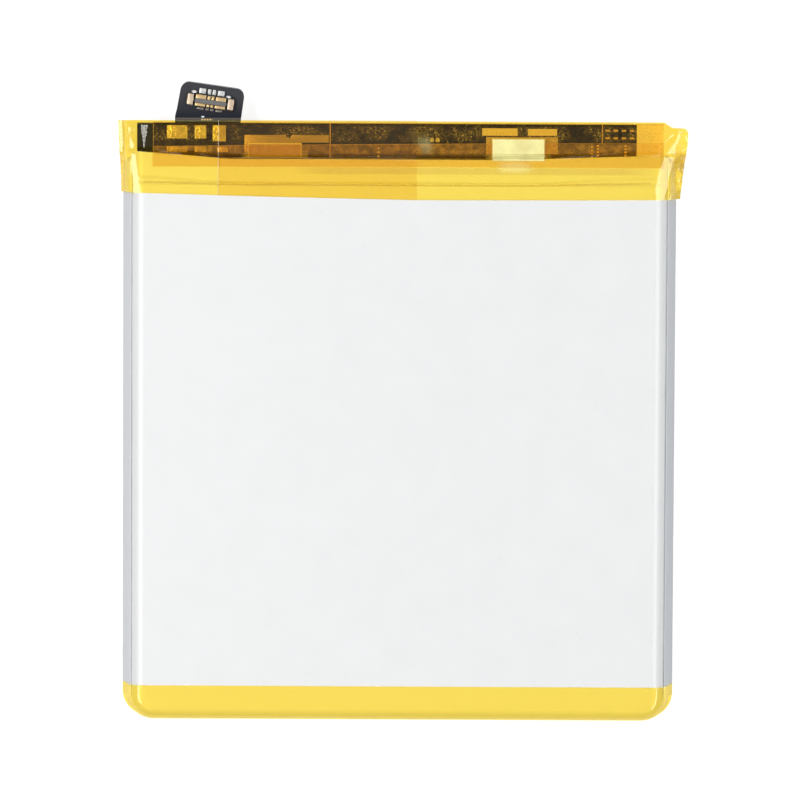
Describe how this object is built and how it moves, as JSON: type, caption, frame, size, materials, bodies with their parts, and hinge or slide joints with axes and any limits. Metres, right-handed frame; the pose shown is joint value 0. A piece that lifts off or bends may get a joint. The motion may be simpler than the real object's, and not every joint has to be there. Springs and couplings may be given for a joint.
{
  "type": "pouch battery cell",
  "caption": "Flat aluminium-laminate pouch cell with a taped protection board at its head and a short flex tail that ends in a board-to-board plug.",
  "frame": {"origin": "centre of the pouch's back face, which is stuck to whatever holds the cell", "axes": "+X across the cell, +Y from the tail to the head with the board and plug, +Z out of the front face"},
  "size_m": [0.0637, 0.0715, 0.0047],
  "materials": {
    "laminate": "satin clear-coated aluminium laminate",
    "laminate_seal": "satin laminate, folded",
    "anode_coating": "matt graphite coating on copper foil",
    "cathode_coating": "matt oxide coating on aluminium foil",
    "separator_film": "thin white film",
    "fixing_tape": "green adhesive tape",
    "copper_foil": "bare copper foil",
    "aluminium_foil": "bare aluminium foil",
    "nickel": "nickel, lightly brushed",
    "sealant_film": "milky hot-melt film",
    "board_mask": "black solder mask with etched relief",
    "spacer_foam": "glossy black strip",
    "gold_plating": "gold flash",
    "chip_body": "black moulded resin",
    "solder": "bright solder",
    "ceramic_brown": "fired ceramic",
    "ceramic_white": "fired ceramic",
    "amber_tape": "clear amber polyimide tape",
    "flex_mask": "black coverlay",
    "stiffener_steel": "stainless stiffener",
    "plug_resin": "black moulded resin",
    "anchor_metal": "dull gold plating over copper alloy"
  },
  "bodies": {
    "cell": {"pouch_cup": "laminate", "pouch_back_film": "laminate", "left_side_seal": "laminate_seal", "right_side_seal": "laminate_seal", "anode_sheets": "anode_coating", "cathode_sheets": "cathode_coating", "separator": "separator_film", "stack_fixing_tapes": "fixing_tape", "anode_foil_bundle": "copper_foil", "cathode_foil_bundle": "aluminium_foil", "negative_tab": "nickel", "positive_tab": "nickel", "tab_sealants": "sealant_film", "protection_board": "board_mask", "board_spacer": "spacer_foam", "weld_plates": "nickel", "solder_lands": "gold_plating", "test_pads": "gold_plating", "front_resistors": "chip_body", "resistor_terminals": "solder", "gauge_chip": "chip_body", "front_diode": "chip_body", "filter_chip": "chip_body", "mosfets": "chip_body", "protection_chips": "chip_body", "capacitors": "ceramic_brown", "sense_resistor": "chip_body", "thermistor": "ceramic_brown", "fuse": "ceramic_white", "board_wrap_tape": "amber_tape", "board_hold_tape": "amber_tape", "head_tape": "amber_tape", "head_patch_tape": "amber_tape", "tail_tape": "amber_tape", "flex_tail": "flex_mask"},
    "plug_head": {"flex_carrier": "flex_mask", "carrier_stiffener": "stiffener_steel", "plug_housing": "plug_resin", "power_contacts": "gold_plating", "signal_contacts": "gold_plating", "plug_anchors": "anchor_metal", "plug_leads": "solder"}
  },
  "joints": [
    {"name": "tail_bend", "type": "hinge", "parent": "cell", "child": "plug_head", "pos_m": [-0.0213, 0.0359, 0.00295], "axis": [1, 0, 0], "range_deg": [-90, 90]}
  ]
}
